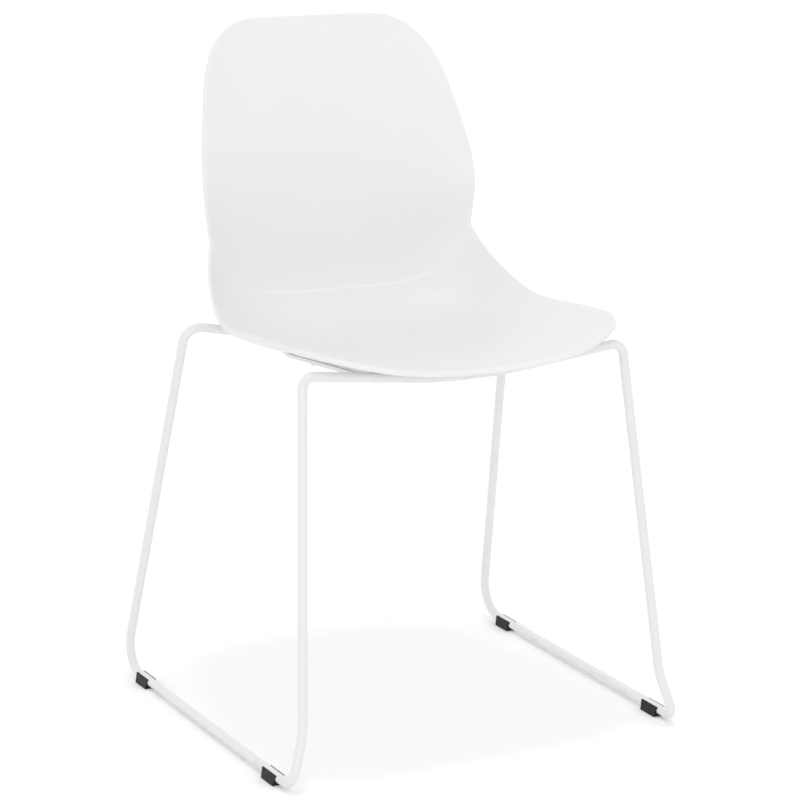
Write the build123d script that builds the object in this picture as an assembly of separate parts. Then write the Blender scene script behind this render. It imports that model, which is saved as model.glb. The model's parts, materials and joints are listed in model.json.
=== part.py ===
from build123d import *
import math
import os

# A stacking chair: one moulded plastic shell on a sled frame of two bent steel rods.
# Millimetres, +Z up.  The origin is on the floor, at the middle of the chair's plan box.
# The sitter faces -Y, so the sitter's left is +X.  The chair is the same on both sides of X = 0.

# --- frame rods -------------------------------------------------------------------------
ROD_R = 5.5
ROD_Z = 8.5  # height of a runner's centre-line, set by the glide under it
RUNNER_FRONT = (254.0, -243.5, ROD_Z)
RUNNER_REAR = (260.5, 252.0, ROD_Z)
FRONT_KINK = (236.3, -234.0, 64.5)  # the front leg turns outward just above the floor
FRONT_TOP = (208.0, -180.5, 465.0)
REAR_TOP = (222.5, 121.5, 469.5)
FRONT_DIP = (45.0, -180.5, 446.5)  # the cross rods dip, to follow the hollow of the seat
REAR_DIP = (90.0, 121.5, 444.0)
DIP_BEND_R = 400.0
FRONT_TOP_BEND_R = 14.0
KINK_BEND_R = 120.0
FRONT_FOOT_BEND_R = 18.0
REAR_FOOT_BEND_R = 35.0
REAR_TOP_BEND_R = 20.0

# --- seat rails: flat bars under the seat, from the front cross rod to the rear one ------
RAIL_X = 107.5
RAIL_WIDTH = 25.0
RAIL_THICK = 4.0
RAIL_FRONT = (-180.5, 452.0)  # (Y, Z) of the bar's middle, at the front rod's axis
RAIL_LOW = (50.0, 436.5)
RAIL_REAR = (121.5, 449.0)
RAIL_BEND_R = 60.0

# --- fixings: four screws from below into moulded-in inserts -----------------------------
SCREW_Y = (-124.0, 0.0)
SCREW_R = 3.0
SCREW_LENGTH = 11.0
HEAD_R = 5.2
HEAD_HEIGHT = 3.2
HEAD_ROUND_R = 1.9
SOCKET_R = 2.0
SOCKET_DEPTH = 2.0
WASHER_R = 6.5
WASHER_THICK = 1.2
RAIL_HOLE_R = 3.4
INSERT_R = 4.5
INSERT_LENGTH = 6.0
BOSS_R = 9.0
BOSS_HEIGHTS = (8.5, 6.5)  # front and rear, so that both end inside the shell's thickness

# --- glides: clips that snap up around the runners ---------------------------------------
GLIDE_FOOT = (17.5, 31.0)  # (width, length) of the face that stands on the floor
GLIDE_TOP = (11.5, 36.5)  # and the same at the lips, above the rod's axis
GLIDE_HEIGHT = 12.4
GLIDE_EDGE_R = 0.7
GLIDE_Y = (-193.0, 183.5)

# --- shell --------------------------------------------------------------------------------
SHELL_THICK = 6.5
# Stations from the front edge of the seat to the top of the back.  Each is a curve from a
# point on the centre-line, (yc, zc), to a point (half, yr, zr) at the side:
# x = half * u, y = yc + (yr - yc) * u ** power, and z likewise, for u from 0 to 1.
STATIONS = (
    # yc, zc, half, yr, zr, power
    (-243, 464, 214, -243, 506, 2.3),
    (-188, 461, 214, -188, 498, 2.3),
    (-128, 457, 216, -128, 494, 2.4),
    (-63, 451, 218, -63, 493, 2.6),
    (-3, 446, 218, -6, 487, 2.8),
    (52, 443, 212, 42, 487, 3.2),
    (104, 449, 204, 86, 508, 3.8),
    (148, 477, 196, 119, 538, 4.4),
    (165, 527, 191, 137, 577, 4.2),
    (168, 587, 190, 136, 612, 3.2),
    (177, 647, 190, 147, 655, 2.5),
    (194, 709, 190, 164, 711, 2.2),
    (214, 769, 190, 185, 769, 2.0),
    (240, 833, 190, 211, 833, 2.0),
)
UPPER_SIDE = (0.0, -0.7, 0.7)  # roughly the way the upper surface faces
STATION_STEPS = 4  # rows of surface points for each station
ACROSS_STEPS = 24  # and points across half of the shell

# The outline, seen from above: a rounded front.
SEAT_FRONT_Y = -231.0
SEAT_HALF = 216.5
SEAT_CORNER_R = 110.0
SEAT_SIDE_END_Y = 26.0  # behind this the outline is drawn as seen from the front
# The outline, seen from the front: the seat's flare, a waist notch, and the back.
FLARE_START = (214.0, 486.5)
FLARE_MIDDLE = (198.5, 516.0)
NOTCH = (179.0, 563.0)
NOTCH_LEAN = (0.18, 1.0)  # the way the back's outline sets off from the notch
BACK_WIDEST = (185.5, 633.0)
BACK_SIDE = (173.5, 713.0)
BACK_SHOULDER = (151.0, 784.0)
BACK_CORNER = (128.0, 810.5)
BACK_TOP = (80.0, 825.5)
# The blocks with these outlines reach past the shell's surface, above, below and behind.
BLOCK_LOW = 400.0
BLOCK_HIGH = 600.0
BLOCK_DEPTH = 300.0


def station_at(t):
    """One station at t, on a uniform cubic B-spline over STATIONS, straight at its ends."""
    first, second, before, last = STATIONS[0], STATIONS[1], STATIONS[-2], STATIONS[-1]
    lead = tuple(2 * a - b for a, b in zip(first, second))
    tail = tuple(2 * a - b for a, b in zip(last, before))
    rows = (lead,) + STATIONS + (tail,)
    i = min(int(t), len(STATIONS) - 2)
    f = t - i
    weights = (
        (1 - f) ** 3 / 6,
        (3 * f**3 - 6 * f**2 + 4) / 6,
        (-3 * f**3 + 3 * f**2 + 3 * f + 1) / 6,
        f**3 / 6,
    )
    return [sum(w * row[k] for w, row in zip(weights, rows[i : i + 4])) for k in range(6)]


def shell_point(t, u):
    """A point of the shell's upper surface, for u from -1 on the right to 1 on the left."""
    yc, zc, half, yr, zr, power = station_at(t)
    rise = abs(u) ** power
    return Vector(half * u, yc + (yr - yc) * rise, zc + (zr - zc) * rise)


def mirrored(solid):
    return solid.mirror(Plane.YZ)


def rod_path():
    """The left rod's centre-line: cross rod, front leg, runner, rear leg, cross rod."""
    points = (
        (0.0, FRONT_DIP[1], FRONT_DIP[2]),
        FRONT_DIP,
        FRONT_TOP,
        FRONT_KINK,
        RUNNER_FRONT,
        RUNNER_REAR,
        REAR_TOP,
        REAR_DIP,
        (0.0, REAR_DIP[1], REAR_DIP[2]),
    )
    radii = (
        DIP_BEND_R,
        FRONT_TOP_BEND_R,
        KINK_BEND_R,
        FRONT_FOOT_BEND_R,
        REAR_FOOT_BEND_R,
        REAR_TOP_BEND_R,
        DIP_BEND_R,
    )
    return FilletPolyline(*points, radius=radii)


def frame_rod():
    path = rod_path()
    section = Plane(origin=path @ 0, z_dir=path % 0) * Circle(ROD_R)
    return sweep(section, path=path)


def rail_frame(y):
    """A plane on a rail's underside near y, with its Z axis square to the bar, upward."""
    a, b = (RAIL_FRONT, RAIL_LOW) if y < RAIL_LOW[0] else (RAIL_LOW, RAIL_REAR)
    slope = (b[1] - a[1]) / (b[0] - a[0])
    normal = Vector(0, -slope, 1).normalized()
    middle = Vector(RAIL_X, y, a[1] + slope * (y - a[0]))
    return Plane(origin=middle - normal * (RAIL_THICK / 2), x_dir=(1, 0, 0), z_dir=normal)


def screw_frames():
    return [rail_frame(y) for y in SCREW_Y]


def cylinder_on(plane, radius, low, high):
    """A cylinder about the plane's Z axis, from low to high along it."""
    return plane * Pos(0, 0, (low + high) / 2) * Cylinder(radius, high - low)


def seat_rail(rod):
    """The left rail: a bent flat bar, coped to the rods it is welded between."""
    line = Plane.YZ * FilletPolyline(RAIL_FRONT, RAIL_LOW, RAIL_REAR, radius=RAIL_BEND_R)
    section = Plane(origin=line @ 0, x_dir=(1, 0, 0), z_dir=line % 0) * Rectangle(RAIL_WIDTH, RAIL_THICK)
    bar = Pos(RAIL_X, 0, 0) * sweep(section, path=line)
    bar -= rod
    for plane in screw_frames():
        bar -= cylinder_on(plane, RAIL_HOLE_R, -RAIL_THICK, 2 * RAIL_THICK)
    return bar.solids().sort_by(SortBy.VOLUME)[-1]


def glide(y):
    """A clip under the left runner: its sides lean in, and its channel closes in above the rod's axis."""
    start, end = Vector(*RUNNER_FRONT), Vector(*RUNNER_REAR)
    centre = start + (end - start) * ((y - start.Y) / (end.Y - start.Y))
    turn = math.degrees(math.atan2(end.X - start.X, end.Y - start.Y))
    block = loft([Rectangle(*GLIDE_FOOT), Pos(0, 0, GLIDE_HEIGHT) * Rectangle(*GLIDE_TOP)], ruled=True)
    block = fillet(block.edges(), GLIDE_EDGE_R)
    rod = Pos(0, 0, ROD_Z) * Rot(90, 0, 0) * Cylinder(ROD_R, 2 * GLIDE_TOP[1])
    return Pos(centre.X, centre.Y, 0) * Rot(0, 0, -turn) * (block - rod)


def seat_outline_block():
    """Everything inside the outline of the seat's front part, as seen from above."""
    length = SEAT_SIDE_END_Y - SEAT_FRONT_Y
    block = Box(2 * SEAT_HALF, length, BLOCK_HIGH - BLOCK_LOW)
    corners = block.edges().filter_by(Axis.Z).sort_by(Axis.Y)[:2]
    middle_y = (SEAT_SIDE_END_Y + SEAT_FRONT_Y) / 2
    return Pos(0, middle_y, (BLOCK_LOW + BLOCK_HIGH) / 2) * fillet(corners, SEAT_CORNER_R)


def back_outline_block():
    """Everything inside the outline of the back and the waist, as seen from the front."""
    side_points = (NOTCH, BACK_WIDEST, BACK_SIDE, BACK_SHOULDER, BACK_CORNER, BACK_TOP)
    half = [
        Line((0, BLOCK_LOW), (FLARE_START[0], BLOCK_LOW)),
        Line((FLARE_START[0], BLOCK_LOW), FLARE_START),
        ThreePointArc(FLARE_START, FLARE_MIDDLE, NOTCH),
        Spline(*side_points, tangents=(NOTCH_LEAN, (-1, 0))),
        Line(BACK_TOP, (0, BACK_TOP[1])),
        Line((0, BACK_TOP[1]), (0, BLOCK_LOW)),
    ]
    face = make_face(Curve() + half)
    block = extrude(Plane.XZ * face, -BLOCK_DEPTH)
    block = Pos(0, SEAT_SIDE_END_Y, 0) * block
    return block + mirrored(block)


def seat_shell():
    """The shell: a curved skin of even thickness, cut to its outline, with screw bosses."""
    rows = (len(STATIONS) - 1) * STATION_STEPS
    points = [
        [shell_point(i / STATION_STEPS, j / ACROSS_STEPS) for j in range(-ACROSS_STEPS, ACROSS_STEPS + 1)]
        for i in range(rows + 1)
    ]
    surface = Face.make_surface_from_array_of_points(points, tol=0.05)
    skin = Solid.thicken(surface, -SHELL_THICK, normal_override=UPPER_SIDE)
    shell = skin & (seat_outline_block() + back_outline_block())
    for plane, height in zip(screw_frames(), BOSS_HEIGHTS):
        boss = cylinder_on(plane, BOSS_R, RAIL_THICK, RAIL_THICK + height)
        shell += boss
        shell += mirrored(boss)
    for plane in screw_frames():
        bore = cylinder_on(plane, INSERT_R, RAIL_THICK, RAIL_THICK + INSERT_LENGTH)
        shell -= bore
        shell -= mirrored(bore)
    return shell


def threaded_insert(plane):
    outer = cylinder_on(plane, INSERT_R, RAIL_THICK, RAIL_THICK + INSERT_LENGTH)
    return outer - cylinder_on(plane, SCREW_R, 0, RAIL_THICK + INSERT_LENGTH)


def washer(plane):
    outer = cylinder_on(plane, WASHER_R, -WASHER_THICK, 0)
    return outer - cylinder_on(plane, SCREW_R, -WASHER_THICK, 0)


def seat_screw(plane):
    """A round-headed screw, seen from below, with a hexagon socket."""
    seat = -WASHER_THICK
    shank = cylinder_on(plane, SCREW_R, seat, seat + SCREW_LENGTH)
    head = cylinder_on(plane, HEAD_R, seat - HEAD_HEIGHT, seat)
    rim = head.edges().filter_by(GeomType.CIRCLE).sort_by(Axis.Z)[:1]
    head = fillet(rim, HEAD_ROUND_R)
    socket = plane * Pos(0, 0, seat - HEAD_HEIGHT) * extrude(RegularPolygon(SOCKET_R, 6), SOCKET_DEPTH)
    return head + shank - socket


def four_of(make):
    """The same small piece at all four screw places, as separate solids."""
    left = [make(plane) for plane in screw_frames()]
    right = [mirrored(piece) for piece in left]
    return Compound(children=left + right)


def save(node, shape):
    export_step(shape, f"parts/{node}.step")


def main():
    os.makedirs("parts", exist_ok=True)
    rod = frame_rod()
    save("left_frame_rod", rod)
    save("right_frame_rod", mirrored(rod))
    rail = seat_rail(rod)
    save("left_seat_rail", rail)
    save("right_seat_rail", mirrored(rail))
    save("seat_shell", seat_shell())
    save("threaded_inserts", four_of(threaded_insert))
    save("washers", four_of(washer))
    save("seat_screws", four_of(seat_screw))
    for end, y in zip(("front", "rear"), GLIDE_Y):
        piece = glide(y)
        save(f"{end}_left_glide", piece)
        save(f"{end}_right_glide", mirrored(piece))


main()
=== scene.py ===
import json
import math

import bmesh
import bpy
import numpy as np
from mathutils import Matrix, Vector


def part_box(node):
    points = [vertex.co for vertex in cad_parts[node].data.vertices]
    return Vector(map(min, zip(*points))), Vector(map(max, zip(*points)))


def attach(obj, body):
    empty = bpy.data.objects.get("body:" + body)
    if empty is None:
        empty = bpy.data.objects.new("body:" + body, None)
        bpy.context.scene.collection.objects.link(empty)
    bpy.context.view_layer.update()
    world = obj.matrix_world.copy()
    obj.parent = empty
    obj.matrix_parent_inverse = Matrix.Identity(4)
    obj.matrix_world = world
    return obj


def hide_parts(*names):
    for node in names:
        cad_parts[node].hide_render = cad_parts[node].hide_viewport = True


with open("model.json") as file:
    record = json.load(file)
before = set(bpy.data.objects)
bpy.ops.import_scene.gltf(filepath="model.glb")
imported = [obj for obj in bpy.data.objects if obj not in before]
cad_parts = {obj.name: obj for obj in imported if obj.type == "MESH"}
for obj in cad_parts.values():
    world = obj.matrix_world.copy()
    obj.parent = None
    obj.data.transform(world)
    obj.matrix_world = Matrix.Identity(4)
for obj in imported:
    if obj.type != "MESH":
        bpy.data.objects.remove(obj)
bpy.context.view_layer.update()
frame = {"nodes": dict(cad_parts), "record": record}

# A white stacking chair: a moulded shell on a sled frame of bent rods.  Metres, +Z up.
# The sitter faces -Y, and the chair is the same on both sides of X = 0.
SIDES = (("left", 1), ("right", -1))

# --- camera -------------------------------------------------------------------------------
CAMERA_AT = (-1.4419, -2.8449, 1.1190)
CAMERA_AZIMUTH = -26.97
CAMERA_ELEVATION = 13.06
CAMERA_LENS = 121.5
CAMERA_SENSOR = 36.0

# --- shell --------------------------------------------------------------------------------
SHELL_THICK = 0.0065
EDGE_REACH = 0.0030  # how far in from the rim its rounding starts
EDGE_TOP = 0.0026  # and how deep the rounding goes, above and below
EDGE_BOTTOM = 0.0018
EDGE_STEPS = 6
RIM_HIGHLIGHT_AND_POLISH = 0.25  # how much of the crease's painted highlight (lighter colour) and polish the rim has
DRAW_STRETCH = 1.2  # the most that the shell's slope adds to its thickness along the mould's draw
# Stations from the front edge of the seat to the top of the back.  Each is a curve from a
# point on the centre-line, (yc, zc), to a point (half, yr, zr) at the side:
# x = half * u, y = yc + (yr - yc) * u ** power, and z likewise, for u from 0 to 1.
STATIONS = np.array([
    # yc, zc, half, yr, zr, power
    (-0.243, 0.464, 0.214, -0.243, 0.506, 2.3),
    (-0.188, 0.461, 0.214, -0.188, 0.498, 2.3),
    (-0.128, 0.457, 0.216, -0.128, 0.494, 2.4),
    (-0.063, 0.451, 0.218, -0.063, 0.493, 2.6),
    (-0.003, 0.446, 0.218, -0.006, 0.487, 2.8),
    (0.052, 0.443, 0.212, 0.042, 0.487, 3.2),
    (0.104, 0.449, 0.204, 0.086, 0.508, 3.8),
    (0.148, 0.477, 0.196, 0.119, 0.538, 4.4),
    (0.165, 0.527, 0.191, 0.137, 0.577, 4.2),
    (0.168, 0.587, 0.190, 0.136, 0.612, 3.2),
    (0.177, 0.647, 0.190, 0.147, 0.655, 2.5),
    (0.194, 0.709, 0.190, 0.164, 0.711, 2.2),
    (0.214, 0.769, 0.190, 0.185, 0.769, 2.0),
    (0.240, 0.833, 0.190, 0.211, 0.833, 2.0),
])
# The outline seen from above: a rounded front and two straight sides.
SEAT_FRONT_Y = -0.231
SEAT_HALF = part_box("seat_shell")[1].x
SEAT_CORNER_R = 0.110
SEAT_SIDE_END_Y = 0.026
# And seen from the front, as (x, z): the seat's flare, a waist notch, and the back.
FLARE = ((0.214, 0.4865), (0.1985, 0.516), (0.179, 0.563))
NOTCH = FLARE[-1]
NOTCH_LEAN = (0.177, 0.984)
BACK_SIDE = (NOTCH, (0.1855, 0.633), (0.1735, 0.713), (0.151, 0.784), (0.128, 0.8105), (0.080, 0.8255))
# The crease that sets the back's panel off from the seat.
CREASE_LOW_Z = 0.4905  # its height on the centre-line
CREASE_POWER = 5.0  # how it rises from there to the notches
CREASE_DEPTH = 0.0010
CREASE_WIDTH = 0.0014
CREASE_REACH = 0.055  # how far above the crease the panel comes level again
CREASE_FADE = 5  # how late the crease dies away on its way out to the rim
# How the surface is divided: columns across, and rows along each stretch of the outline.
COLUMNS = 120
CORNER_ROWS = 26
SIDE_ROWS = 40
FLARE_ROWS = 44
BACK_ROWS = 110
NOTCH_CROWDING = 1.8  # the rows stand closer together near the notch
CREASE_BEND = 2.4  # over how many stations the rows bend to follow the crease
# Between which stations each stretch of the outline, and the crease, is looked for.
SEAT_SPAN = (0, 6)
FLARE_SPAN = (4.5, 13)
CREASE_SPAN = (5, 13)
BACK_SPAN = (6, 13)

# --- frame rods ---------------------------------------------------------------------------
ROD_R = 0.0055
ROD_SIDES = 32
ROD_END_CHAMFER = ROD_R * 0.08
ROD_POINTS = (
    (0.0, -0.1805, 0.4465),
    (0.0450, -0.1805, 0.4465),
    (0.2080, -0.1805, 0.4650),
    (0.2363, -0.2340, 0.0645),
    (0.2540, -0.2435, 0.0085),
    (0.2605, 0.2520, 0.0085),
    (0.2225, 0.1215, 0.4695),
    (0.0900, 0.1215, 0.4440),
    (0.0, 0.1215, 0.4440),
)
ROD_BENDS = (0.400, 0.014, 0.120, 0.018, 0.035, 0.020, 0.400)  # the radius at each inner point

# --- seat rails and fixings -----------------------------------------------------------------
RAIL_X = (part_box("left_seat_rail")[0].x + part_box("left_seat_rail")[1].x) / 2
RAIL_THICK = 0.004
RAIL_LINE = ((-0.1805, 0.452), (0.050, 0.4365), (0.1215, 0.449))  # (y, z) of the bar's middle
SCREW_Y = (-0.124, 0.0)
INSERT_R = 0.0045
INSERT_LENGTH = 0.006
BOSS_R = 0.009
BOSS_HEIGHTS = (0.0085, 0.0065)
BOSS_EDGE = 0.0006
RIB_X = (0.1130, 0.1160)  # the shell's rib that rests along each rail
RIB_Y = (-0.168, 0.030)
RIB_GAP = 0.0001
RIB_ROOT = SHELL_THICK * 0.8  # how far below the upper face the rib's top lies, inside the shell
RIB_STATIONS = 24
# Fillet welds under each rail, at its front and rear ends, from its inner to its outer edge.
RAIL_WELDS = (
    ((0.0955, -0.1757, 0.4496), (0.1195, -0.1785, 0.4497)),
    ((0.0955, 0.1160, 0.4460), (0.1195, 0.1171, 0.4462)),
)
WELD_R = 0.0017
WELD_PITCH = 0.0022
WELD_RIPPLE = 0.14  # how deep the ripples are, as a share of the radius
WELD_END = 0.72  # the radius at the ends, and the length of their tips, as shares of the radius
WELD_TIP = 0.6
WELD_SIDES = 14
RIPPLE_STEPS = 6
BUTT_WELD_RISE = 0.0003  # the ground-down ring where the two rods are joined
BUTT_WELD_HALF = 0.0022

# --- stage ------------------------------------------------------------------------------------
FLOOR_HALF = 30.0
FLOOR_Z = -0.0002
WORLD_STRENGTH = 0.965
SEAT_CENTRE = (0, 0, 0.45)
LIGHTS = (
    # name, place, aim, size, power in watts
    ("key", (-1.3, -3.2, 3.3), SEAT_CENTRE, (2.2, 2.2), 3),
    ("fill", (-1.9, -4.0, 1.3), SEAT_CENTRE, (2.0, 1.6), 19),
    ("top", (0.0, -0.05, 6.0), (0, 0, 0), (0.5, 0.5), 28),
    ("backdrop", (3.5, 8.0, 6.0), (3.5, 9.0, 0), (10.0, 10.0), 60),
)


# --- splines and the shell's surface --------------------------------------------------------
def spline(rows, t):
    """Points at t, an array, of a uniform cubic B-spline over rows, straight at its ends."""
    ends = np.vstack([2 * rows[0] - rows[1], rows, 2 * rows[-1] - rows[-2]])
    i = np.clip(np.floor(t).astype(int), 0, len(rows) - 2)
    f = (t - i)[:, None]
    return (
        (1 - f) ** 3 * ends[i]
        + (3 * f**3 - 6 * f**2 + 4) * ends[i + 1]
        + (-3 * f**3 + 3 * f**2 + 3 * f + 1) * ends[i + 2]
        + f**3 * ends[i + 3]
    ) / 6


def smooth_through(points, first, last, share):
    """A smooth plane curve through points, which sets off along first and ends along last.

    It is a cubic spline by chord length, given at share, an array from 0 to 1 of that length."""
    points = np.array(points)
    chord = np.linalg.norm(np.diff(points, axis=0), axis=1)
    steps = np.diff(points, axis=0) / chord[:, None]
    weights = np.eye(len(points))
    slopes = np.array([first] + [last] * (len(points) - 1), float)
    for i in range(1, len(points) - 1):
        before, after = chord[i - 1], chord[i]
        weights[i, i - 1 : i + 2] = after, 2 * (before + after), before
        slopes[i] = 3 * (after * steps[i - 1] + before * steps[i])
    slopes = np.linalg.solve(weights, slopes)
    knots = np.concatenate([[0], np.cumsum(chord)])
    run = share * knots[-1]
    i = np.clip(np.searchsorted(knots, run, side="right") - 1, 0, len(chord) - 1)
    h = chord[i][:, None]
    f = (run - knots[i])[:, None] / h
    ends = (1 + 2 * f) * (1 - f) ** 2 * points[i] + f**2 * (3 - 2 * f) * points[i + 1]
    return ends + f * (1 - f) ** 2 * h * slopes[i] - f**2 * (1 - f) * h * slopes[i + 1]


def arc_through(a, b, c, share):
    """Points of the plane arc from a to c through b, at share, an array from 0 to 1."""
    a, b, c = (np.array(point) for point in (a, b, c))
    centre = np.linalg.solve(2 * np.array([b - a, c - b]), (b @ b - a @ a, c @ c - b @ b))
    start, end = (math.atan2(*(point - centre)[::-1]) for point in (a, c))
    turn = (end - start + math.pi) % (2 * math.pi) - math.pi
    angles = start + turn * share
    return centre + np.linalg.norm(a - centre) * np.stack([np.cos(angles), np.sin(angles)], axis=1)


def surface(t, u):
    """Points of the shell's upper face, at t along the stations and u across."""
    yc, zc, half, yr, zr, power = spline(STATIONS, t).T
    rise = np.abs(u) ** power
    return np.stack([half * u, yc + (yr - yc) * rise, zc + (zr - zc) * rise], axis=1)


def surface_slopes(t, u):
    """How the surface's points move with t and with u."""
    step = 1e-3
    along = (surface(t + step, u) - surface(t - step, u)) / (2 * step)
    across = (surface(t, u + step) - surface(t, u - step)) / (2 * step)
    return along, across


def unit(vectors):
    return vectors / np.linalg.norm(vectors, axis=1, keepdims=True)


def surface_normals(t, u):
    along, across = surface_slopes(t, u)
    return unit(np.cross(across, along))


def find_station(x, target, axis, span):
    """The (t, u) at half-width x where the surface's y or z, by axis, is target, with t in span."""
    low = np.full(len(x), span[0], float)
    high = np.full(len(x), span[1], float)
    for _ in range(40):
        t = (low + high) / 2
        u = np.minimum(x / spline(STATIONS, t)[:, 2], 1)
        below = surface(t, u)[:, axis] < target
        low = np.where(below, t, low)
        high = np.where(below, high, t)
    return t, u


# --- the shell's outline, one half, from the front centre to the top centre -----------------
def side_outline():
    """The rim from the front corner to the top corner, as arrays of t and u, and the notch's place.

    Rows that don't climb the stations are left out, so that the grid never folds over."""
    turn = np.linspace(0, math.pi / 2, CORNER_ROWS)
    x = SEAT_HALF - SEAT_CORNER_R * (1 - np.sin(turn))
    y = SEAT_FRONT_Y + SEAT_CORNER_R * (1 - np.cos(turn))
    corner = find_station(x, y, 1, SEAT_SPAN)
    y = np.linspace(SEAT_FRONT_Y + SEAT_CORNER_R, SEAT_SIDE_END_Y, SIDE_ROWS)[1:]
    side = find_station(np.full(len(y), SEAT_HALF), y, 1, SEAT_SPAN)
    share = np.linspace(0, 1, FLARE_ROWS)
    flare = arc_through(*FLARE, 1 - (1 - share) ** NOTCH_CROWDING)
    flare = find_station(flare[:, 0], flare[:, 1], 2, FLARE_SPAN)
    share = np.linspace(0, 1, BACK_ROWS)[1:]
    back = smooth_through(BACK_SIDE, NOTCH_LEAN, (-1, 0), share**NOTCH_CROWDING)
    back = find_station(back[:, 0], back[:, 1], 2, BACK_SPAN)
    t, u = np.hstack([corner, side, flare, back])
    rising = t > np.maximum.accumulate(np.concatenate([[-1], t[:-1]])) + 1e-4
    notch = rising[: -len(share)].sum() - 1
    return t[rising], u[rising], notch


def inset(t, u, points, normals):
    """The outline moved inward along the surface by the rim's rounding, and its outward directions.

    p and q are the slopes dotted with that move, which a 2 by 2 system turns into steps of t and u."""
    tangents = np.gradient(points, axis=0)
    tangents[0] = (1, 0, 0)
    tangents[-1] = (-1, 0, 0)
    outward = unit(np.cross(tangents, normals))
    along, across = surface_slopes(t, u)
    a = (along * along).sum(1)
    b = (along * across).sum(1)
    c = (across * across).sum(1)
    p = -(along * outward).sum(1) * EDGE_REACH
    q = -(across * outward).sum(1) * EDGE_REACH
    det = a * c - b * b
    return t + (c * p - b * q) / det, u + (a * q - b * p) / det, outward


def crease_height(x):
    """How high the crease lies at x: flat in the middle, and up to the notches at the sides."""
    return CREASE_LOW_Z + (NOTCH[1] - CREASE_LOW_Z) * np.abs(x / NOTCH[0]) ** CREASE_POWER


def shell_grid():
    """The shell's upper face as a grid whose rows bend to follow the crease.

    It gives t, u, how far the face is set in, how much of the crease's painted highlight and polish
    a point has (0 to 1), and the rim's outward directions."""
    t, u, notch = side_outline()
    points = surface(t, u)
    t, u, outward = inset(t, u, points, surface_normals(t, u))
    share = np.linspace(-1, 1, COLUMNS + 1)
    x = np.abs(share) * NOTCH[0]
    crease_t, _ = find_station(x, crease_height(x), 2, CREASE_SPAN)
    drop = crease_t[-1] - crease_t
    bend = np.clip(1 - np.abs(t - t[notch]) / CREASE_BEND, 0, 1)
    bend = bend**2 * (3 - 2 * bend)
    grid_t = t[:, None] - bend[:, None] * drop[None, :]
    grid_u = u[:, None] * share[None, :]
    middle = surface(grid_t[:, COLUMNS // 2], np.zeros(len(t)))
    run = np.concatenate([[0], np.cumsum(np.linalg.norm(np.diff(middle, axis=0), axis=1))])
    above = np.maximum(run - run[notch], 0)
    set_in = CREASE_DEPTH * np.clip(above / CREASE_WIDTH, 0, 1) * np.exp(-above / CREASE_REACH)
    fade = (1 - np.abs(share) ** CREASE_FADE) ** 2
    # the mask of the painted highlight (and polish) along the crease
    edge = np.exp(-(((run - run[notch]) / CREASE_WIDTH) ** 2))
    return grid_t, grid_u, set_in[:, None] * fade[None, :], edge[:, None] * fade[None, :], outward


def grid_faces(start, rows, columns, flip):
    """The faces of a grid of vertices that begins at index start."""
    faces = []
    for i in range(rows - 1):
        for j in range(columns - 1):
            a = start + i * columns + j
            face = (a, a + 1, a + columns + 1, a + columns)
            faces.append(face[::-1] if flip else face)
    return faces


def border_loop(rows, columns):
    """Indices round a grid: the front row, the left side, the top row backwards, the right side."""
    front = list(range(columns))
    left = [i * columns + columns - 1 for i in range(1, rows)]
    top = [(rows - 1) * columns + j for j in range(columns - 2, -1, -1)]
    right = [i * columns for i in range(rows - 2, 0, -1)]
    return front + left + top + right


def border_outward(outward, columns):
    """The outward direction at each point of border_loop."""
    mirror = outward * (-1, 1, 1)
    front = np.repeat(outward[:1], columns, axis=0)
    top = np.repeat(outward[-1:], columns - 1, axis=0)
    return np.vstack([front, outward[1:], top, mirror[1:-1][::-1]])


def rim_profile(depth):
    """Steps round the rim as (outward, down) distances, between the upper and the lower face."""
    turns = [math.pi / 2 * k / EDGE_STEPS for k in range(EDGE_STEPS + 1)]
    upper = [(EDGE_REACH * math.sin(a), EDGE_TOP * (1 - math.cos(a))) for a in turns[1:]]
    lower = [(EDGE_REACH * math.cos(a), depth - EDGE_BOTTOM * (1 - math.sin(a))) for a in turns[:-1]]
    return upper + lower


def make_shell():
    """The moulding: its upper face, the rounded rim, and a lower face offset along the mould's draw."""
    grid_t, grid_u, set_in, crease_highlight_and_polish, outward = shell_grid()
    rows, columns = grid_t.shape
    flat_t, flat_u = grid_t.ravel(), grid_u.ravel()
    normals = surface_normals(flat_t, flat_u)
    draw = -surface_normals(flat_t, 0 * flat_u)
    depth = SHELL_THICK * np.minimum(-1 / (normals * draw).sum(1), DRAW_STRETCH)
    full = surface(flat_t, flat_u)
    upper = full + draw * set_in.ravel()[:, None]
    loop = np.array(border_loop(rows, columns))
    out = border_outward(outward, columns)
    rings = [
        upper[loop] + out * outward_by + draw[loop] * np.reshape(down_by, (-1, 1))
        for outward_by, down_by in rim_profile(depth[loop])
    ]
    verts = np.vstack([upper] + rings + [full + draw * depth[:, None]])
    size, around = rows * columns, len(loop)
    lower_start = size + around * len(rings)
    starts = [size + k * around + np.arange(around) for k in range(len(rings))]
    starts = [loop] + starts + [lower_start + loop]
    faces = grid_faces(0, rows, columns, False) + grid_faces(lower_start, rows, columns, True)
    for one, other in zip(starts, starts[1:]):
        for k in range(around):
            n = (k + 1) % around
            faces.append((int(one[n]), int(one[k]), int(other[k]), int(other[n])))
    shell = add_mesh("seat_shell_moulding", verts, faces)
    # The 'edge' attribute carries a painted highlight: it lightens the plastic's colour along the crease
    # and the rim, and also lowers its roughness there.
    edge = np.zeros(len(verts), np.float32)
    edge[:size] = crease_highlight_and_polish.ravel()
    edge[size:lower_start] = RIM_HIGHLIGHT_AND_POLISH
    edge[loop] = RIM_HIGHLIGHT_AND_POLISH / 2
    shell.data.attributes.new("edge", "FLOAT", "POINT").data.foreach_set("value", edge)
    return shell


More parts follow.
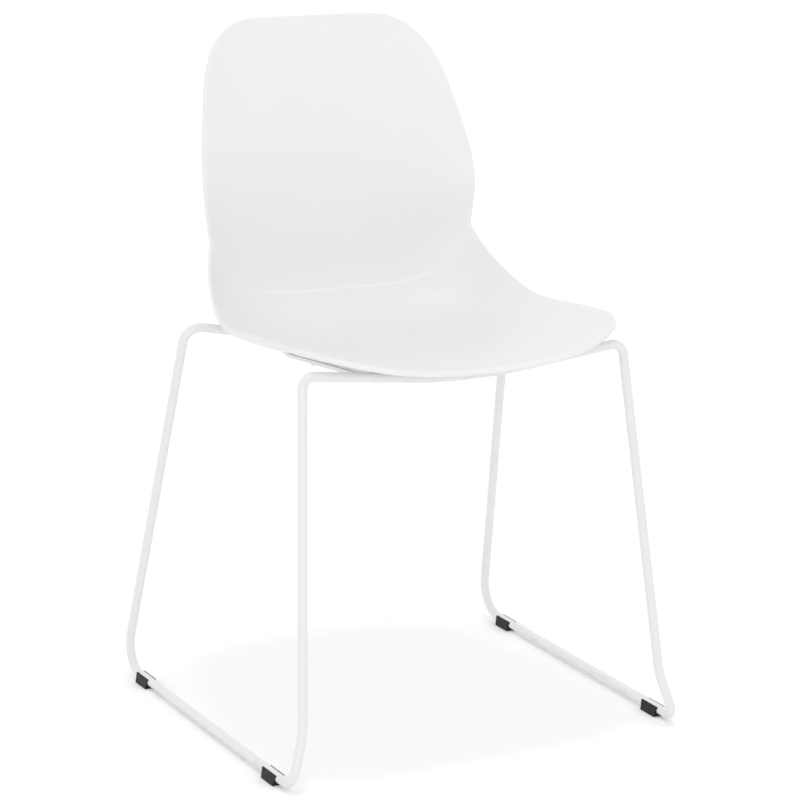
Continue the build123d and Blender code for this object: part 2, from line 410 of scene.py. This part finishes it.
# --- general mesh helpers -------------------------------------------------------------------
def add_mesh(name, verts, faces):
    """A smooth-shaded mesh object, linked into the scene."""
    mesh = bpy.data.meshes.new(name)
    mesh.from_pydata([tuple(map(float, v)) for v in verts], [], faces)
    mesh.polygons.foreach_set("use_smooth", [True] * len(faces))
    mesh.update()
    obj = bpy.data.objects.new(name, mesh)
    bpy.context.scene.collection.objects.link(obj)
    return obj


def soften(obj, degrees):
    """Shades the object smoothly except over edges sharper than this."""
    obj.data.set_sharp_from_angle(angle=math.radians(degrees))


def filleted(points, radii, arc_step=math.radians(5)):
    """A path of straight runs joined by tangent arcs, as points."""
    points = [Vector(p) for p in points]
    path = [points[0]]
    for before, corner, after, radius in zip(points, points[1:], points[2:], radii):
        a = (before - corner).normalized()
        b = (after - corner).normalized()
        turn = math.pi - a.angle(b)
        reach = radius * math.tan(turn / 2)
        centre = corner + (a + b).normalized() * (radius / math.cos(turn / 2))
        start = corner + a * reach - centre
        side = (-a).normalized()
        count = max(2, math.ceil(turn / arc_step))
        for k in range(count + 1):
            angle = turn * k / count
            path.append(centre + start * math.cos(angle) + side * radius * math.sin(angle))
    path.append(points[-1])
    return path


def tube(name, path, radius, sides):
    """A round bar along a path, with its edges just broken at the ends."""
    first = (path[1] - path[0]).normalized()
    last = (path[-1] - path[-2]).normalized()
    low, high = path[0] + first * ROD_END_CHAMFER, path[-1] - last * ROD_END_CHAMFER
    end_radius = radius - ROD_END_CHAMFER
    rings = [(path[0], end_radius, first), (low, radius, first)]
    for before, point, after in zip(path, path[1:], path[2:]):
        tangent = ((point - before).normalized() + (after - point).normalized()).normalized()
        rings.append((point, radius, tangent))
    rings += [(high, radius, last), (path[-1], end_radius, last)]
    verts, faces = [], []
    up = rings[0][2].orthogonal().normalized()
    for centre, r, tangent in rings:
        up = (up - tangent * up.dot(tangent)).normalized()
        side = tangent.cross(up)
        for k in range(sides):
            angle = 2 * math.pi * k / sides
            verts.append(centre + (up * math.cos(angle) + side * math.sin(angle)) * r)
    for i in range(len(rings) - 1):
        for k in range(sides):
            n = (k + 1) % sides
            faces.append((i * sides + k, i * sides + n, (i + 1) * sides + n, (i + 1) * sides + k))
    faces.append(tuple(range(sides))[::-1])
    faces.append(tuple((len(rings) - 1) * sides + k for k in range(sides)))
    return add_mesh(name, verts, faces)


def turned(name, profile, place, sides=40):
    """A closed solid turned from a closed loop of (radius, height) points about the Z axis of place."""
    mesh = bmesh.new()
    points = [mesh.verts.new((radius, 0, height)) for radius, height in profile]
    edges = [mesh.edges.new(pair) for pair in zip(points, points[1:] + points[:1])]
    bmesh.ops.spin(
        mesh, geom=points + edges, cent=(0, 0, 0), axis=(0, 0, 1),
        angle=2 * math.pi, steps=sides, use_merge=True,
    )
    bmesh.ops.remove_doubles(mesh, verts=mesh.verts, dist=1e-6)
    bmesh.ops.dissolve_degenerate(mesh, edges=mesh.edges, dist=1e-6)
    bmesh.ops.recalc_face_normals(mesh, faces=mesh.faces)
    mesh.transform(place)
    obj = add_mesh(name, [], [])
    mesh.to_mesh(obj.data)
    mesh.free()
    obj.data.polygons.foreach_set("use_smooth", [True] * len(obj.data.polygons))
    return obj


def rail_frame(x, y):
    """A frame on a rail's underside near y, with its Z axis square to the bar, upward."""
    a, b = (RAIL_LINE[0], RAIL_LINE[1]) if y < RAIL_LINE[1][0] else (RAIL_LINE[1], RAIL_LINE[2])
    slope = (b[1] - a[1]) / (b[0] - a[0])
    up = Vector((0, -slope, 1)).normalized()
    at = Vector((x, y, a[1] + slope * (y - a[0]))) - up * (RAIL_THICK / 2)
    right = Vector((1, 0, 0))
    return Matrix.Translation(at) @ Matrix((right, up.cross(right), up)).transposed().to_4x4()


def make_bosses():
    """The four round bosses under the seat that hold the threaded inserts."""
    low, floor = RAIL_THICK, RAIL_THICK + INSERT_LENGTH
    bosses = []
    for side, sign in SIDES:
        for end, y, height in zip(("front", "rear"), SCREW_Y, BOSS_HEIGHTS):
            high = RAIL_THICK + height
            profile = (
                (INSERT_R, low), (BOSS_R - BOSS_EDGE, low), (BOSS_R, low + BOSS_EDGE),
                (BOSS_R, high), (0, high), (0, floor), (INSERT_R, floor),
            )
            boss = turned(f"{end}_{side}_boss", profile, rail_frame(sign * RAIL_X, y))
            soften(boss, 35)
            bosses.append(boss)
    return bosses


def make_ribs():
    """The rib under each side of the seat that rests along its rail, by its outer edge."""
    y = np.linspace(*RIB_Y, RIB_STATIONS)
    (y0, z0), (y1, z1), _ = RAIL_LINE
    low = z0 + (z1 - z0) / (y1 - y0) * (y - y0) + RAIL_THICK / 2 + RIB_GAP
    ribs = []
    for side, sign in SIDES:
        edges = []
        for x in RIB_X:
            t, u = find_station(np.full(len(y), x), y, 1, SEAT_SPAN)
            high = surface(t, u)[:, 2] - RIB_ROOT
            edges += [np.stack([0 * y + sign * x, y, z], axis=1) for z in (low, high)]
        inner_low, inner_high, outer_low, outer_high = edges
        verts = np.stack([inner_low, outer_low, outer_high, inner_high], axis=1).reshape(-1, 3)
        faces = [(3, 2, 1, 0), tuple(len(verts) - k for k in (4, 3, 2, 1))]
        for a in range(0, len(verts) - 4, 4):
            faces += [(a + k, a + (k + 1) % 4, a + (k + 1) % 4 + 4, a + k + 4) for k in range(4)]
        rib = add_mesh(f"{side}_seat_rib", verts, faces if sign < 0 else [face[::-1] for face in faces])
        soften(rib, 35)
        ribs.append(rib)
    return ribs


def weld_bead(name, start, end):
    """A rippled fillet weld from start to end, with a blunt tip at each end."""
    start, end = Vector(start), Vector(end)
    along = (end - start).normalized()
    across = along.cross(Vector((0, 0, 1))).normalized()
    up = across.cross(along)
    steps = round((end - start).length / WELD_PITCH) * RIPPLE_STEPS
    sides = WELD_SIDES
    verts = [start - along * WELD_R * WELD_TIP]
    for i in range(steps + 1):
        radius = WELD_R * (1 - WELD_RIPPLE * abs(math.sin(math.pi * i / RIPPLE_STEPS)))
        if i in (0, steps):
            radius *= WELD_END
        for k in range(sides):
            angle = 2 * math.pi * k / sides
            spoke = across * math.cos(angle) + up * math.sin(angle)
            verts.append(start.lerp(end, i / steps) + spoke * radius)
    verts.append(end + along * WELD_R * WELD_TIP)
    last = len(verts) - 1
    faces = []
    for k in range(sides):
        n = (k + 1) % sides
        faces.append((0, 1 + k, 1 + n))
        faces.append((last, 1 + steps * sides + n, 1 + steps * sides + k))
        for i in range(steps):
            a, b = 1 + i * sides, 1 + (i + 1) * sides
            faces.append((a + k, b + k, b + n, a + n))
    return add_mesh(name, verts, faces)


def make_welds():
    """The welds that join the rails to the rods, and the two rods to each other."""
    welds = []
    for side, sign in SIDES:
        for end, points in zip(("front", "rear"), RAIL_WELDS):
            start, stop = ((sign * x, y, z) for x, y, z in points)
            welds.append(weld_bead(f"{end}_{side}_rail_weld", start, stop))
    inner, top, half = ROD_R * 0.9, ROD_R + BUTT_WELD_RISE, BUTT_WELD_HALF
    profile = (
        (inner, -half), (ROD_R, -half), (top, -half / 3),
        (top, half / 3), (ROD_R, half), (inner, half),
    )
    for end, point in zip(("front", "rear"), (ROD_POINTS[0], ROD_POINTS[-1])):
        place = Matrix.Translation(point) @ Matrix.Rotation(math.pi / 2, 4, "Y")
        welds.append(turned(f"{end}_butt_weld", profile, place))
    return welds


def make_rods():
    """The two bent rods, in place of the CAD's own."""
    rods = []
    for side, sign in SIDES:
        points = [(sign * x, y, z) for x, y, z in ROD_POINTS]
        path = filleted(points, ROD_BENDS)
        rod = tube(f"{side}_bent_rod", path, ROD_R, ROD_SIDES)
        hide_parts(f"{side}_frame_rod")
        rods.append(rod)
    return rods


# --- materials --------------------------------------------------------------------------------
class Nodes:
    """A material's nodes, with short ways to add and link them."""

    def __init__(self, name):
        self.material = bpy.data.materials.new(name)
        self.material.use_nodes = True
        self.tree = self.material.node_tree
        self.shader = self.tree.nodes["Principled BSDF"]
        self.coords = self.tree.nodes.new("ShaderNodeTexCoord").outputs["Object"]

    def add(self, kind, **inputs):
        node = self.tree.nodes.new(kind)
        for name, value in inputs.items():
            self.set(node.inputs[name.replace("_", " ")], value)
        return node

    def set(self, socket, value):
        if isinstance(value, bpy.types.NodeSocket):
            self.tree.links.new(value, socket)
        else:
            socket.default_value = value

    def noise(self, scale, detail=2.0, coords=None):
        node = self.add("ShaderNodeTexNoise", Vector=coords or self.coords, Scale=scale, Detail=detail)
        return node.outputs["Fac"]

    def stretched(self, x, y, z):
        """Coordinates scaled by x, y and z: a small scale draws the pattern out along that axis."""
        node = self.add("ShaderNodeMapping", Vector=self.coords, Scale=(x, y, z))
        return node.outputs["Vector"]

    def span(self, value, low, high, to_low, to_high):
        """Maps value from low..high to to_low..to_high, held at both ends."""
        node = self.add("ShaderNodeMapRange", Value=value, From_Min=low, From_Max=high)
        self.set(node.inputs["To Min"], to_low)
        self.set(node.inputs["To Max"], to_high)
        return node.outputs["Result"]

    def math(self, operation, a, b):
        node = self.tree.nodes.new("ShaderNodeMath")
        node.operation = operation
        self.set(node.inputs[0], a)
        self.set(node.inputs[1], b)
        return node.outputs[0]

    def mix(self, factor, a, b):
        node = self.tree.nodes.new("ShaderNodeMix")
        node.data_type = "RGBA"
        self.set(node.inputs[0], factor)
        self.set(node.inputs[6], a)
        self.set(node.inputs[7], b)
        return node.outputs[2]

    def attribute(self, name):
        node = self.tree.nodes.new("ShaderNodeAttribute")
        node.attribute_name = name
        return node.outputs["Fac"]

    def height(self):
        """Height above the floor: the pieces' own frames are the chair's."""
        node = self.tree.nodes.new("ShaderNodeSeparateXYZ")
        self.set(node.inputs[0], self.coords)
        return node.outputs["Z"]

    def bump(self, heights):
        """Adds up (height, distance in metres) pairs into one normal."""
        normal = None
        for value, distance in heights:
            node = self.add("ShaderNodeBump", Height=value, Distance=distance, Strength=1.0)
            if normal:
                self.set(node.inputs["Normal"], normal)
            normal = node.outputs["Normal"]
        self.set(self.shader.inputs["Normal"], normal)


def grey(value, warm=0.0):
    return (value + warm, value, value - warm, 1.0)


def shell_plastic():
    n = Nodes("shell_plastic")
    patches = n.span(n.noise(9, 3), 0.35, 0.65, 0, 1)
    edge = n.attribute("edge")
    base = n.mix(patches, grey(0.785), grey(0.795, 0.001))
    # painted highlight: the base colour is lightened towards grey 0.88 along the crease and the rim, by
    # the 'edge' attribute
    n.set(n.shader.inputs["Base Color"], n.mix(n.math("MULTIPLY", edge, 0.45), base, grey(0.88)))
    wiped = n.span(n.noise(26, 4, n.stretched(1, 0.25, 0.25)), 0.3, 0.7, 0.36, 0.44)
    n.set(n.shader.inputs["Roughness"], n.math("SUBTRACT", wiped, n.math("MULTIPLY", edge, 0.12)))
    n.shader.inputs["IOR"].default_value = 1.49
    n.bump([(n.noise(2200, 2), 0.00002), (n.noise(14, 1), 0.0002)])
    return n.material


def frame_paint():
    n = Nodes("frame_paint")
    patches = n.noise(30, 2)
    low = n.span(n.height(), 0.004, 0.022, 1, 0)
    scuffs = n.span(n.noise(220, 4, n.stretched(1, 0.12, 1)), 0.56, 0.66, 0, 1)
    worn = n.math("MULTIPLY", scuffs, low)
    paint = n.mix(patches, grey(0.755), grey(0.775))
    n.set(n.shader.inputs["Base Color"], n.mix(n.math("MULTIPLY", worn, 0.5), paint, grey(0.5)))
    n.set(n.shader.inputs["Roughness"], n.span(n.noise(90, 3), 0.3, 0.7, 0.28, 0.38))
    n.bump([(n.noise(900, 1), 0.00004)])
    return n.material


def glide_plastic():
    n = Nodes("glide_plastic")
    scuffs = n.span(n.noise(300, 5, n.stretched(1, 0.1, 1)), 0.55, 0.7, 0, 1)
    low = n.span(n.height(), 0.001, 0.009, 1, 0.15)
    worn = n.math("MULTIPLY", scuffs, low)
    n.set(n.shader.inputs["Base Color"], n.mix(worn, grey(0.006), grey(0.03)))
    n.set(n.shader.inputs["Roughness"], n.span(n.noise(400, 3), 0.3, 0.7, 0.42, 0.58))
    n.shader.inputs["Specular IOR Level"].default_value = 0.3
    n.bump([(n.noise(1800, 2), 0.00004)])
    return n.material


def metal(name, colour, dark, roughness):
    n = Nodes(name)
    n.set(n.shader.inputs["Base Color"], n.mix(n.noise(500, 4), colour, dark))
    n.shader.inputs["Metallic"].default_value = 1.0
    polish = n.span(n.noise(900, 3), 0.3, 0.7, roughness - 0.06, roughness + 0.08)
    n.set(n.shader.inputs["Roughness"], polish)
    n.bump([(n.noise(2500, 2, n.stretched(1, 1, 0.15)), 0.00003)])
    return n.material


def floor_material():
    n = Nodes("studio_floor")
    n.set(n.shader.inputs["Base Color"], n.mix(n.noise(2, 2), grey(0.965), grey(0.975)))
    n.shader.inputs["Roughness"].default_value = 0.9
    n.shader.inputs["Specular IOR Level"].default_value = 0.1
    return n.material


def paint_all(materials):
    """Gives every CAD node that still shows its slot's material."""
    for entry in frame["record"]["subparts"]:
        obj = frame["nodes"][entry["node"]]
        obj.data.materials.clear()
        obj.data.materials.append(materials[entry["material_slot"]])


# --- stage ----------------------------------------------------------------------------------
def make_floor():
    corners = ((-1, -1), (1, -1), (1, 1), (-1, 1))
    verts = [(FLOOR_HALF * x, FLOOR_HALF * y, FLOOR_Z) for x, y in corners]
    floor = add_mesh("floor", verts, [(0, 1, 2, 3)])
    floor.data.materials.append(floor_material())


def add_light(name, at, aim, size, power):
    light = bpy.data.lights.new(name, "AREA")
    light.shape = "RECTANGLE"
    light.size, light.size_y = size
    light.energy = power
    obj = bpy.data.objects.new(name, light)
    obj.location = at
    obj.rotation_euler = (Vector(aim) - Vector(at)).to_track_quat("-Z", "Y").to_euler()
    bpy.context.scene.collection.objects.link(obj)


def make_light():
    world = bpy.data.worlds.new("studio")
    bpy.context.scene.world = world
    world.use_nodes = True
    background = world.node_tree.nodes["Background"]
    background.inputs["Color"].default_value = (1, 1, 1, 1)
    background.inputs["Strength"].default_value = WORLD_STRENGTH
    for light in LIGHTS:
        add_light(*light)
    bpy.context.scene.view_settings.view_transform = "Standard"


def make_camera():
    azimuth, elevation = math.radians(CAMERA_AZIMUTH), math.radians(CAMERA_ELEVATION)
    back = Vector((
        math.sin(azimuth) * math.cos(elevation),
        -math.cos(azimuth) * math.cos(elevation),
        math.sin(elevation),
    ))
    right = Vector((math.cos(azimuth), math.sin(azimuth), 0))
    up = back.cross(right)
    data = bpy.data.cameras.new("camera")
    data.sensor_width = CAMERA_SENSOR
    data.lens = CAMERA_LENS
    camera = bpy.data.objects.new("camera", data)
    camera.matrix_world = Matrix.Translation(CAMERA_AT) @ Matrix((right, up, back)).transposed().to_4x4()
    bpy.context.scene.collection.objects.link(camera)
    bpy.context.scene.camera = camera


def main():
    make_camera()
    make_floor()
    make_light()
    materials = {
        "shell_plastic": shell_plastic(),
        "frame_paint": frame_paint(),
        "glide_plastic": glide_plastic(),
        "brass": metal("brass", (0.72, 0.55, 0.27, 1), (0.62, 0.46, 0.22, 1), 0.30),
        "zinc_steel": metal("zinc_steel", grey(0.62), grey(0.52), 0.32),
    }
    paint_all(materials)
    shell = make_shell()
    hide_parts("seat_shell")
    pieces = [(piece, "shell_plastic") for piece in [shell] + make_bosses() + make_ribs()]
    pieces += [(piece, "frame_paint") for piece in make_rods() + make_welds()]
    for piece, slot in pieces:
        piece.data.materials.append(materials[slot])
        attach(piece, "root")


main()
